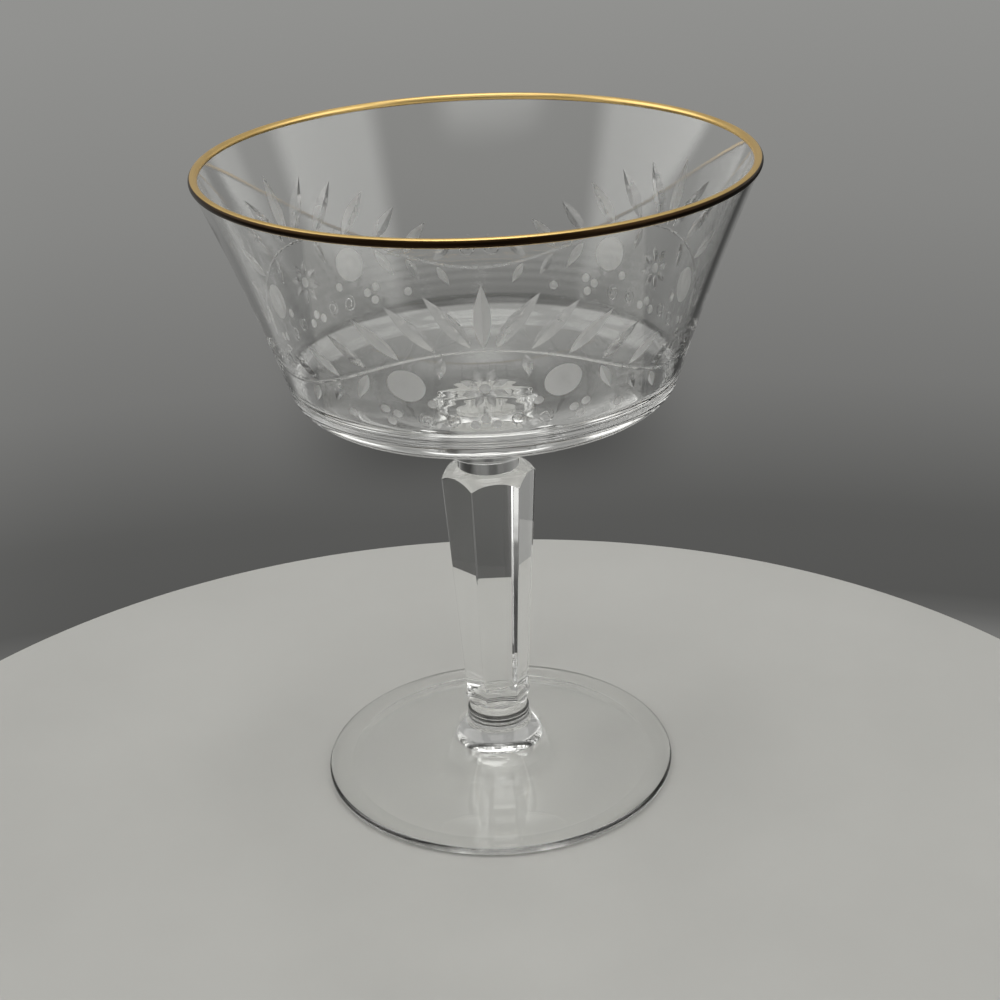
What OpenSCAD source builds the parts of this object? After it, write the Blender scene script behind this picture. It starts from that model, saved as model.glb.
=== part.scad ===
// Stemmed coupe glass: a flared, flat-bottomed bowl with a gilded lip, on a six-panel cut stem
// and a round foot. The pieces are joined hot, face to face, up one axis of turning.
// Millimetres, +Z up, origin at the middle of the resting plane.

/* [Bowl] */
// Outside diameter of the lip, over the gilding
rim_d = 100; // [92:0.5:110]
// Height of the bowl, from its seat on the button to the top of the lip
bowl_h = 49.3; // [42:0.1:60]
// Thickness of the round bead at the lip
lip_d = 1.6; // [1.4:0.1:2.4]
// Thickness of the side wall
wall_t = 1.2; // [0.9:0.05:1.3]
// Diameter of the middle of the wall where it runs into the shoulder
wall_foot_d = 70.5; // [64:0.1:76]
// Height of that place above the bowl's seat
wall_foot_h = 9.5; // [8.5:0.1:12]
// How far the middle of the wall bows in from a straight line, which gives the lip its flare
wall_bow = 0.5; // [0.1:0.05:1]
// Radius of the shoulder outside, between the wall and the underside
shoulder_r = 6.1; // [3:0.1:8]
// Radius of the corner inside, between the wall and the floor
inner_corner_r = 6.5; // [4:0.1:9]
// Radius of the dished underside
underside_r = 90; // [80:1:140]
// Radius of the dished floor inside
floor_r = 150; // [110:5:300]
// Thickness of the glass at the middle of the floor
floor_t = 5; // [4:0.1:7]

/* [Gilding] */
// Thickness of the gold skin, thicker than fired gold so that it stays a closed solid
gilding_t = 0.12; // [0.08:0.01:0.2]

/* [Button] */
// Diameter of the button's top, where the bowl sits
button_top_d = 20; // [18:0.2:24]
// Diameter of the button's lower edge
button_low_d = 16; // [14:0.2:17.6]
// Height of the button
button_h = 6.6; // [4:0.1:9]
// Radius that rounds the button's lower edge
button_edge_r = 0.7; // [0.3:0.1:1.2]

/* [Stem] */
// Height of the stem, from the collar to the button
stem_h = 55.2; // [45:0.1:70]
// Number of flat panels cut round the stem
panel_count = 6; // [6:1:8]
// Distance across the stem between opposite panels, level with the middle of the shoulder's curve
panels_top_w = 15.3; // [14.4:0.1:16.4]
// The same distance at the round lower end
panels_low_w = 10.4; // [10:0.1:11]
// Height above the stem's lower end at which the flat panels end
panels_end_h = 4.8; // [4:0.1:8]
// Radius of the curve in which each panel runs out
panels_end_r = 5; // [3:0.5:12]
// Turn of the panels about the axis
panels_turn = 8; // [0:1:60]
// Diameter of the round neck above the shoulder
neck_d = 11.7; // [10.6:0.1:12.6]
// Height of the neck
neck_h = 2.8; // [1.5:0.1:5]
// Radius of the domed shoulder that the panels cut into scallops
dome_r = 5.65; // [5:0.05:7]
// Distance of the centre of that dome's curve from the axis
dome_centre = 4.23; // [3.6:0.01:4.6]
// Diameter of the round lower end of the stem
stem_low_d = 11.5; // [11.3:0.1:12]
// Height of the round lower end of the stem, below the swell
stem_low_h = 2; // [0.8:0.1:3]
// Length over which the stem swells from its round lower end to its full blank
stem_swell_h = 6; // [4:0.1:10]

/* [Collar] */
// Height of the collar between the stem and the foot
collar_h = 1.6; // [1.2:0.1:3]
// Diameter over the collar's round edge
collar_d = 12.2; // [11.9:0.1:14]

/* [Foot] */
// Diameter of the foot
foot_d = 69; // [60:0.5:80]
// Height of the foot at its middle, where the collar sits
foot_h = 10.9; // [9:0.1:14]
// Diameter of the foot's top, under the collar
foot_top_d = 12.2; // [11.9:0.1:14]
// Thickness of the foot at its edge
foot_edge_t = 1.5; // [1.2:0.1:2.4]
// Radius of the hollow curve from the foot's top to its plate
foot_sweep_r = 6; // [4.5:0.5:12]
// Slope of the foot's plate, in degrees
foot_slope = 10.5; // [8:0.5:13]
// Width of the flat ring that the foot rests on
rest_ring_w = 4; // [2:0.5:8]
// Depth of the hollow under the foot
foot_hollow = 3.6; // [1:0.1:4.4]

/* [Hidden] */

// Levels of the pieces, each standing on the one below
collar_z = foot_h;
stem_z = collar_z + collar_h;
button_z = stem_z + stem_h;
bowl_z = button_z + button_h;

// Steps in a curve drawn as points, and round facets of a turned piece
arc_steps = 16;
turn_facets = 180;

// Points of an arc round a centre, from one angle to another
function arc(c, r, from, to, n = arc_steps) =
    [for (i = [0:n]) let (a = from + (to - from) * i / n) c + r * [cos(a), sin(a)]];

// Direction from one point to another, in degrees
function heading(from, to) = atan2(to[1] - from[1], to[0] - from[0]);

// Middle of a circle at distance r1 from c1 and r2 from c2, on the left of the way from c1 to c2
function meeting(c1, r1, c2, r2) =
    let (d = norm(c2 - c1), along = (d * d + r1 * r1 - r2 * r2) / (2 * d), u = (c2 - c1) / d)
    c1 + along * u + sqrt(r1 * r1 - along * along) * [-u[1], u[0]];

// The same points in the other order
function reversed(points) = [for (i = [len(points) - 1:-1:0]) points[i]];

// Middle line of the side wall: a shallow arc whose centre lies outside the bowl
half_wall = wall_t / 2;
lip_r = lip_d / 2;
lip_c = [rim_d / 2 - lip_r, bowl_h - lip_r];
wall_foot_c = [wall_foot_d / 2, wall_foot_h];
wall_chord = norm(lip_c - wall_foot_c);
wall_r = (wall_chord * wall_chord / 4 + wall_bow * wall_bow) / (2 * wall_bow);
wall_out = [lip_c[1] - wall_foot_c[1], wall_foot_c[0] - lip_c[0]] / wall_chord;
wall_c = (lip_c + wall_foot_c) / 2 + (wall_r - wall_bow) * wall_out;

// Where the two faces of the wall run into the bead at the lip
lip_out = meeting(wall_c, wall_r - half_wall, lip_c, lip_r);
lip_in = meeting(wall_c, wall_r + half_wall, lip_c, lip_r);

// The bead from its outer foot over the top to its inner foot, smaller by an inset
function lip_line(inset) = arc(lip_c, lip_r - inset, heading(lip_c, lip_out), heading(lip_c, lip_in) + 360);

// The shoulder touches the wall outside and the dished underside
seat_r = button_top_d / 2;
underside_c = [0, sqrt(underside_r * underside_r - seat_r * seat_r)];
shoulder_c = meeting(wall_c, wall_r - half_wall + shoulder_r, underside_c, underside_r - shoulder_r);
shoulder_wall_a = heading(wall_c, shoulder_c);
shoulder_low_a = heading(underside_c, shoulder_c);

// The inner corner touches the wall inside and the dished floor
floor_c = [0, floor_t + floor_r];
corner_c = meeting(wall_c, wall_r + half_wall + inner_corner_r, floor_c, floor_r - inner_corner_r);
corner_wall_a = heading(wall_c, corner_c);
corner_low_a = heading(floor_c, corner_c);

// The stem's domed shoulder, between the straight body of its blank and the neck
neck_r = neck_d / 2;
neck_z = stem_h - neck_h;
body_r = dome_centre + dome_r;
dome_z = neck_z - sqrt(dome_r * dome_r - (neck_r - dome_centre) * (neck_r - dome_centre));

// A piece turned about the Z axis from its half outline
module turned(outline) {
    rotate_extrude($fn = turn_facets)
        polygon(outline);
}

module bowl() {
    outside = concat(
        [[0, 0]],
        arc(underside_c, underside_r, heading(underside_c, [seat_r, 0]), shoulder_low_a),
        arc(shoulder_c, shoulder_r, shoulder_low_a, shoulder_wall_a - 180),
        arc(wall_c, wall_r - half_wall, shoulder_wall_a, heading(wall_c, lip_out)));
    inside = concat(
        arc(wall_c, wall_r + half_wall, heading(wall_c, lip_in), corner_wall_a),
        arc(corner_c, inner_corner_r, corner_wall_a - 180, corner_low_a),
        arc(floor_c, floor_r, corner_low_a, -90));
    color("gainsboro", 0.4)
        translate([0, 0, bowl_z])
            turned(concat(outside, lip_line(gilding_t), inside));
}

// A thin skin of gold over the bead, let into the lip by its own thickness
module rim_gilding() {
    color("goldenrod")
        translate([0, 0, bowl_z])
            turned(concat(lip_line(0), reversed(lip_line(gilding_t))));
}

// Flares in a hollow curve from a rounded lower edge to the bowl's seat
module bowl_button() {
    low_r = button_low_d / 2;
    flare = [seat_r - low_r, button_h - button_edge_r];
    flare_r = flare * flare / (2 * flare[0]);
    flare_c = [low_r + flare_r, button_edge_r];
    color("gainsboro", 0.4)
        translate([0, 0, button_z])
            turned(concat(
                [[0, 0]],
                arc([low_r - button_edge_r, button_edge_r], button_edge_r, -90, 0),
                arc(flare_c, flare_r, 180, heading(flare_c, [seat_r, button_h])),
                [[0, button_h]]));
}

// Half outline of the stem's blank: round lower end, swell, straight body, domed shoulder and neck
module stem_outline() {
    low_r = stem_low_d / 2;
    polygon([
        [0, 0],
        [low_r, 0],
        [low_r, stem_low_h],
        [body_r, stem_low_h + stem_swell_h],
        [body_r, dome_z],
        [0, dome_z]]);
    intersection() {
        translate([dome_centre, dome_z])
            circle(dome_r, $fn = turn_facets);
        translate([0, dome_z])
            square([body_r, dome_r]);
    }
    translate([0, dome_z])
        square([neck_r, stem_h - dome_z]);
}

module stem_blank() {
    rotate_extrude($fn = turn_facets)
        stem_outline();
}

// Cutter for one panel: a flat face that leans with the taper and runs out in a curve at its foot
module panel_cut() {
    lean = atan((panels_top_w - panels_low_w) / 2 / (dome_z - stem_low_h));
    flat_end = [panels_low_w / 2 + (panels_end_h - stem_low_h) * tan(lean), panels_end_h];
    run_out_c = flat_end + panels_end_r * [cos(lean), -sin(lean)];
    reach = 2 * body_r;
    rotate([90, 0, 0])
        linear_extrude(height = 2 * reach, center = true) {
            translate(run_out_c)
                circle(panels_end_r, $fn = turn_facets);
            polygon([
                flat_end,
                flat_end + (stem_h - panels_end_h) * [tan(lean), 1],
                [reach, stem_h],
                [reach, run_out_c[1]],
                run_out_c]);
        }
}

module stem() {
    color("gainsboro", 0.5)
        translate([0, 0, stem_z])
            difference() {
                stem_blank();
                for (i = [0:panel_count - 1])
                    rotate(panels_turn + (i + 0.5) * 360 / panel_count)
                        panel_cut();
            }
}

// Two rounded rings between the stem and the foot
module foot_collar() {
    ring_r = collar_h / 4;
    ring_c = collar_d / 2 - ring_r;
    color("gainsboro", 0.5)
        translate([0, 0, collar_z])
            turned(concat(
                [[0, 0]],
                arc([ring_c, ring_r], ring_r, -90, 90),
                arc([ring_c, 3 * ring_r], ring_r, -90, 90),
                [[0, collar_h]]));
}

// A hollow sweep from the collar runs into a sloping plate with a round edge, hollowed underneath
module foot() {
    top = [foot_top_d / 2, foot_h];
    edge_r = foot_edge_t / 2;
    edge_c = [foot_d / 2 - edge_r, edge_r];
    plate_up = [sin(foot_slope), cos(foot_slope)];
    plate_out = [cos(foot_slope), -sin(foot_slope)];
    rise = (top - edge_c) * plate_up - edge_r;
    sweep_c = top + (foot_sweep_r - rise) * plate_up + sqrt(rise * (2 * foot_sweep_r - rise)) * plate_out;
    sweep_turn = acos(1 - rise / foot_sweep_r);
    hollow_edge = edge_c[0] - rest_ring_w;
    hollow_r = (hollow_edge * hollow_edge + foot_hollow * foot_hollow) / (2 * foot_hollow);
    hollow_c = [0, foot_hollow - hollow_r];
    color("gainsboro", 0.4)
        turned(concat(
            arc(hollow_c, hollow_r, 90, heading(hollow_c, [hollow_edge, 0])),
            arc(edge_c, edge_r, -90, 90 - foot_slope),
            arc(sweep_c, foot_sweep_r, -90 - foot_slope, -90 - foot_slope - sweep_turn),
            [[0, foot_h]]));
}

foot();
foot_collar();
stem();
bowl_button();
bowl();
rim_gilding();
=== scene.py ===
"""Stemmed coupe glass: flared bowl with a wheel-cut band and a gilded lip, button, panel-cut
stem, ringed collar and round foot, on a plain pale floor in soft studio light.
Shapes are worked out in millimetres and become metres when a mesh is made."""
import math

import bpy
import numpy as np
from mathutils import Matrix, Vector
from mathutils.geometry import delaunay_2d_cdt


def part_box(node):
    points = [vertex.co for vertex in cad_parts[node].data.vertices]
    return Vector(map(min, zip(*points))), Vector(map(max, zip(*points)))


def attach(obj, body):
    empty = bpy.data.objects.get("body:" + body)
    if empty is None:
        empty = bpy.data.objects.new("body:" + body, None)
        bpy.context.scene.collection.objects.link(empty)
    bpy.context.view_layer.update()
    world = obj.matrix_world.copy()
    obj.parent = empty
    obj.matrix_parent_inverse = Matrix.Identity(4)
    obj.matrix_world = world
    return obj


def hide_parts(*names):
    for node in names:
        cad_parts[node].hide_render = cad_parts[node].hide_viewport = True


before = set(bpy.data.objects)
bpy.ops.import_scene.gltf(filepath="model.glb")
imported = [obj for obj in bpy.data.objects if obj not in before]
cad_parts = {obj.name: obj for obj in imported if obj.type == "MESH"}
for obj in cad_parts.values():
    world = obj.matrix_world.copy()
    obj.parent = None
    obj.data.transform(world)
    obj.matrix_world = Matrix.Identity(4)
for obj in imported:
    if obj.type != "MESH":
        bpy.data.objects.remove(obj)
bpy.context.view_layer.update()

MM = 0.001

# Finishes of a face, as numbers kept on the mesh
POLISHED, JOINT, CUT, MATT = range(4)
FINISH_NAMES = ("Polished", "Joint", "Cut", "Matt")


def low(node):
    """Level of a node's lowest point."""
    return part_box(node)[0][2] / MM


def high(node):
    """Level of a node's highest point."""
    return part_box(node)[1][2] / MM


def reach(node):
    """Largest distance of a turned node from the axis."""
    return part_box(node)[1][0] / MM


# Sizes of the bowl that the frame's boxes don't give
LIP_D = 1.6
WALL_T = 1.2
WALL_FOOT = (35.25, 9.5)
WALL_BOW = 0.5
SHOULDER_R = 6.1
INNER_CORNER_R = 6.5
UNDERSIDE_R = 90.0
FLOOR_R = 150.0
FLOOR_T = 5.0
FLOOR_FLAT_R = 3.0
GILDING_T = 0.12
GOLD_BED = 0.02

# Faint rings left by the mould low on the inside of the bowl's wall
INNER_ROWS = 140
RINGS = 8
RINGS_SHARE = 0.38
RING_HEIGHT = 0.005

# Sizes of the button
BUTTON_LOW_R = 8.0
BUTTON_EDGE_R = 0.7

# Sizes of the stem
PANELS = 6
PANEL_TOP = 7.65
PANEL_LOW = 5.2
PANEL_END_H = 4.8
PANEL_END_R = 5.0
PANEL_TURN = 8.0
NECK_R = 5.85
NECK_H = 2.8
DOME_R = 5.65
DOME_CENTRE = 4.23
STEM_LOW_R = 5.75
STEM_LOW_H = 2.0
STEM_SWELL_H = 6.0
ARRIS_SHARE = 0.035

# Sizes of the foot, whose plate is a little hollow on top
FOOT_EDGE_T = 1.5
FOOT_SWEEP_R = 6.0
PLATE_EDGE_SLOPE = 6.5
PLATE_R = 125.0
REST_RING_W = 4.0
FOOT_HOLLOW = 3.6
HOLLOW_FLAT_R = 2.0

# Turned pieces: sectors that repeat round the axis, columns in each and steps of the arcs
SECTORS = 6
COLUMNS = 28
LONG_ARC_STEPS = 14
SHOULDER_STEPS, CORNER_STEPS = 24, 22
LIP_STEPS, GOLD_STEPS = 30, 40
BUTTON_STEPS, RING_STEPS = 16, 20
EDGE_STEPS, PLATE_STEPS, SWEEP_STEPS = 30, 24, 26

# How close points count as one: to the axis, along an outline and when a piece is welded
ON_AXIS = 1e-6
SAME_POINT = 0.001
WELD = 0.002


def polar(centre, radius, angle):
    a = math.radians(angle)
    return (centre[0] + radius * math.cos(a), centre[1] + radius * math.sin(a))


def heading(start, end):
    """Direction from one point to another, in degrees."""
    return math.degrees(math.atan2(end[1] - start[1], end[0] - start[0]))


def meeting(c1, r1, c2, r2):
    """Middle of a circle at distance r1 from c1 and r2 from c2, left of the way from c1 to c2."""
    gap = math.dist(c1, c2)
    along = (gap * gap + r1 * r1 - r2 * r2) / (2 * gap)
    side = math.sqrt(r1 * r1 - along * along)
    ux, uy = (c2[0] - c1[0]) / gap, (c2[1] - c1[1]) / gap
    return (c1[0] + along * ux - side * uy, c1[1] + along * uy + side * ux)


class Outline:
    """Half outline of a turned piece, run anticlockwise: each step has a facet and a finish."""

    def __init__(self, start):
        self.points = [start]
        self.steps = []
        self.facet = 0

    def corner(self):
        self.facet += 1
        return self

    def to(self, point, finish=POLISHED, parts=1):
        start = self.points[-1]
        for i in range(1, parts + 1):
            self.points.append(tuple(a + (b - a) * i / parts for a, b in zip(start, point)))
            self.steps.append((self.facet, finish))
        return self

    def arc(self, centre, radius, start, end, parts):
        first = polar(centre, radius, start)
        if math.dist(first, self.points[-1]) > SAME_POINT:
            self.to(first)
        for i in range(1, parts + 1):
            self.to(polar(centre, radius, start + (end - start) * i / parts))
        return self


class Sector:
    """Faces of one sector of a piece, each with its facet and finish."""

    def __init__(self):
        self.points = []
        self.faces = []
        self.facets = []
        self.finishes = []

    def face(self, indices, facet, finish):
        self.faces.append(indices)
        self.facets.append(facet)
        self.finishes.append(finish)

    def turn(self, outline, span, columns=COLUMNS):
        """Adds a turned outline: quads, or triangles where it meets the axis."""
        rows = []
        for r, z in outline.points:
            rows.append(len(self.points))
            ring = 1 if r < ON_AXIS else columns + 1
            for k in range(ring):
                a = span * (k / columns - 0.5)
                self.points.append((r * math.cos(a), r * math.sin(a), z))
        for i, (facet, finish) in enumerate(outline.steps):
            below, above = rows[i], rows[i + 1]
            for k in range(columns):
                if outline.points[i][0] < ON_AXIS:
                    corners = (below, above + k + 1, above + k)
                elif outline.points[i + 1][0] < ON_AXIS:
                    corners = (below + k, below + k + 1, above)
                else:
                    corners = (below + k, below + k + 1, above + k + 1, above + k)
                self.face(corners, facet, finish)

    def grid(self, rows, facet_of):
        """Adds a sheet of quads from rows of points, with a facet for each place in it."""
        start, width = len(self.points), len(rows[0])
        for row in rows:
            self.points.extend(row)
        for i in range(len(rows) - 1):
            for k in range(width - 1):
                a = start + i * width + k
                self.face((a, a + 1, a + width + 1, a + width), facet_of(i, k), POLISHED)

    def mesh(self, name):
        mesh = bpy.data.meshes.new(name)
        mesh.from_pydata([Vector(p) * MM for p in self.points], [], self.faces)
        for label, values in (("facet", self.facets), ("finish", self.finishes)):
            mesh.attributes.new(label, "INT", "FACE").data.foreach_set("value", values)
        return mesh


def add_node(tree, kind, settings=None, **inputs):
    """New node with its settings and input values; an input that is a socket gets a link."""
    made = tree.nodes.new(kind)
    for key, value in (settings or {}).items():
        setattr(made, key, value)
    for key, value in inputs.items():
        socket = made.inputs[int(key[1:])] if key[0] == "_" else made.inputs[key.replace("_", " ")]
        if isinstance(value, bpy.types.NodeSocket):
            tree.links.new(value, socket)
        else:
            socket.default_value = value
    return made


def math_node(tree, operation, *values):
    made = add_node(tree, "ShaderNodeMath", {"operation": operation},
                    **{f"_{i}": value for i, value in enumerate(values)})
    return made.outputs[0]


def repeat_tree():
    """Geometry Nodes tree that repeats a sector round the Z axis and sets the finishes."""
    tree = bpy.data.node_groups.new("repeat round the axis", "GeometryNodeTree")
    tree.is_modifier = True
    socket = tree.interface.new_socket
    socket("Sector", in_out="INPUT", socket_type="NodeSocketGeometry")
    socket("Count", in_out="INPUT", socket_type="NodeSocketInt")
    socket("First angle", in_out="INPUT", socket_type="NodeSocketFloat")
    socket("Weld distance", in_out="INPUT", socket_type="NodeSocketFloat")
    for finish in FINISH_NAMES:
        socket(finish, in_out="INPUT", socket_type="NodeSocketMaterial")
    socket("Piece", in_out="OUTPUT", socket_type="NodeSocketGeometry")
    given = tree.nodes.new("NodeGroupInput").outputs
    step = math_node(tree, "DIVIDE", math.tau, given["Count"])
    turn = math_node(tree, "MULTIPLY", tree.nodes.new("GeometryNodeInputIndex").outputs[0], step)
    angle = math_node(tree, "ADD", turn, given["First angle"])
    spin = add_node(tree, "ShaderNodeCombineXYZ", Z=angle)
    spots = add_node(tree, "GeometryNodePoints", Count=given["Count"])
    copies = add_node(tree, "GeometryNodeInstanceOnPoints", Points=spots.outputs[0],
                      Instance=given["Sector"], Rotation=spin.outputs[0])
    solid = add_node(tree, "GeometryNodeRealizeInstances", Geometry=copies.outputs[0])
    welded = add_node(tree, "GeometryNodeMergeByDistance", Geometry=solid.outputs[0],
                      Distance=given["Weld distance"])
    smooth = add_node(tree, "GeometryNodeSetShadeSmooth", Geometry=welded.outputs[0])
    last = smooth.outputs[0]
    mark = add_node(tree, "GeometryNodeInputNamedAttribute", {"data_type": "INT"}, Name="finish")
    for number, finish in enumerate(FINISH_NAMES):
        same = tree.nodes.new("FunctionNodeCompare")
        same.data_type, same.operation = "INT", "EQUAL"
        ends = [s for s in same.inputs if s.enabled]
        tree.links.new(mark.outputs[0], ends[0])
        ends[1].default_value = number
        last = add_node(tree, "GeometryNodeSetMaterial", Geometry=last, Selection=same.outputs[0],
                        Material=given[finish]).outputs[0]
    tree.links.new(last, tree.nodes.new("NodeGroupOutput").inputs[0])
    return tree


REPEAT = repeat_tree()
INPUT_IDS = {item.name: item.identifier for item in REPEAT.interface.items_tree
             if item.in_out == "INPUT"}


def crease_facets(mesh):
    """Makes each edge between two facets sharp, and returns the facet at each face corner."""
    facets = np.empty(len(mesh.polygons), np.int32)
    mesh.attributes["facet"].data.foreach_get("value", facets)
    totals = np.empty(len(mesh.polygons), np.int32)
    mesh.polygons.foreach_get("loop_total", totals)
    edges = np.empty(len(mesh.loops), np.int32)
    mesh.loops.foreach_get("edge_index", edges)
    at_corner = np.repeat(facets, totals)
    least = np.full(len(mesh.edges), np.iinfo(np.int32).max)
    most = np.full(len(mesh.edges), -1)
    np.minimum.at(least, edges, at_corner)
    np.maximum.at(most, edges, at_corner)
    sharp = mesh.attributes.get("sharp_edge")
    if not sharp:
        sharp = mesh.attributes.new("sharp_edge", "BOOLEAN", "EDGE")
    sharp.data.foreach_set("value", least != most)
    return at_corner


def true_normals(mesh, at_corner, facet, normal_at):
    """Gives the corners of one curved facet the normals of the true surface."""
    normals = np.empty(len(mesh.loops) * 3, np.float32)
    mesh.corner_normals.foreach_get("vector", normals)
    normals = normals.reshape(-1, 3)
    points = np.empty(len(mesh.vertices) * 3, np.float32)
    mesh.vertices.foreach_get("co", points)
    owners = np.empty(len(mesh.loops), np.int32)
    mesh.loops.foreach_get("vertex_index", owners)
    chosen = np.flatnonzero(at_corner == facet)
    normals[chosen] = normal_at(points.reshape(-1, 3)[owners[chosen]] / MM)
    mesh.normals_split_custom_set([tuple(map(float, n)) for n in normals])


def repeat_piece(name, sector, nodes, materials, first_angle=0.0, normals=None,
                 count=SECTORS):
    """Repeats a sector into a whole piece, which stands for its nodes in the frame."""
    piece = bpy.data.objects.new(name, sector.mesh(name + "_sector"))
    bpy.context.scene.collection.objects.link(piece)
    modifier = piece.modifiers.new("repeat", "NODES")
    modifier.node_group = REPEAT
    modifier[INPUT_IDS["Count"]] = count
    modifier[INPUT_IDS["First angle"]] = first_angle
    modifier[INPUT_IDS["Weld distance"]] = WELD * MM
    for finish in FINISH_NAMES:
        modifier[INPUT_IDS[finish]] = materials.get(finish, materials["Polished"])
    graph = bpy.context.evaluated_depsgraph_get()
    mesh = bpy.data.meshes.new_from_object(piece.evaluated_get(graph))
    piece.modifiers.remove(modifier)
    piece.data = mesh
    mesh.name = name
    at_corner = crease_facets(mesh)
    if normals:
        true_normals(mesh, at_corner, *normals)
    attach(piece, "root")
    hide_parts(*nodes)


# Levels, each piece standing on the one below
COLLAR_Z = low("foot_collar")
STEM_Z = low("stem")
BUTTON_Z = low("bowl_button")
BOWL_Z = low("bowl")
RIM_R = reach("rim_gilding")
RIM_Z = high("rim_gilding")
SPAN = math.tau / SECTORS

# Arcs of the bowl's wall: its middle line bows in, so its centre lies outside the bowl
HALF_WALL = WALL_T / 2
LIP_R = LIP_D / 2
LIP_C = (RIM_R - LIP_R, RIM_Z - LIP_R)
WALL_LOW = (WALL_FOOT[0], BOWL_Z + WALL_FOOT[1])
WALL_CHORD = math.dist(LIP_C, WALL_LOW)
WALL_R = (WALL_CHORD ** 2 / 4 + WALL_BOW ** 2) / (2 * WALL_BOW)
WALL_OUT = ((LIP_C[1] - WALL_LOW[1]) / WALL_CHORD, (WALL_LOW[0] - LIP_C[0]) / WALL_CHORD)
WALL_C = tuple((a + b) / 2 + (WALL_R - WALL_BOW) * o for a, b, o in zip(LIP_C, WALL_LOW, WALL_OUT))
OUTER_R = WALL_R - HALF_WALL
INNER_R = WALL_R + HALF_WALL
LIP_OUT = meeting(WALL_C, OUTER_R, LIP_C, LIP_R)
LIP_IN = meeting(WALL_C, INNER_R, LIP_C, LIP_R)
LIP_FROM = heading(LIP_C, LIP_OUT)
LIP_TO = heading(LIP_C, LIP_IN) + 360
SEAT_R = reach("bowl_button")
UNDERSIDE_C = (0.0, BOWL_Z + math.sqrt(UNDERSIDE_R ** 2 - SEAT_R ** 2))
SHOULDER_C = meeting(WALL_C, OUTER_R + SHOULDER_R, UNDERSIDE_C, UNDERSIDE_R - SHOULDER_R)
SHOULDER_WALL_A = heading(WALL_C, SHOULDER_C) % 360
SHOULDER_LOW_A = heading(UNDERSIDE_C, SHOULDER_C)
FLOOR_C = (0.0, BOWL_Z + FLOOR_T + FLOOR_R)
CORNER_C = meeting(WALL_C, INNER_R + INNER_CORNER_R, FLOOR_C, FLOOR_R - INNER_CORNER_R)
CORNER_WALL_A = heading(WALL_C, CORNER_C) % 360
CORNER_LOW_A = heading(FLOOR_C, CORNER_C)
LIP_WALL_A = heading(WALL_C, LIP_OUT) % 360

# The cut band lies on the outer wall between these lengths up it from the shoulder
WALL_RUN = math.radians(abs(LIP_WALL_A - SHOULDER_WALL_A)) * OUTER_R
BAND_LOW = 0.6
BAND_H = 34.0
BAND_MIDDLE = BAND_LOW + BAND_H / 2
BAND_ROWS = 22
BAND_REPEATS = 3
BAND_SPAN = math.tau / BAND_REPEATS
BAND_COLUMNS = 2 * COLUMNS
PLAIN_ROWS = 10

# Numbers of the bowl's facets that need one; each cut has its own after the wall's
LIP_FACET = 2
WALL_FACET = 50


def wall_point(up):
    """Point of the outer wall at a length up it from the shoulder, and its outward normal."""
    turn = math.degrees(up / OUTER_R) * (1 if LIP_WALL_A > SHOULDER_WALL_A else -1)
    point = polar(WALL_C, OUTER_R, SHOULDER_WALL_A + turn)
    return point, ((WALL_C[0] - point[0]) / OUTER_R, (WALL_C[1] - point[1]) / OUTER_R)


BAND_R = wall_point(BAND_MIDDLE)[0][0]
REPEAT_W = BAND_SPAN * BAND_R


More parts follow.
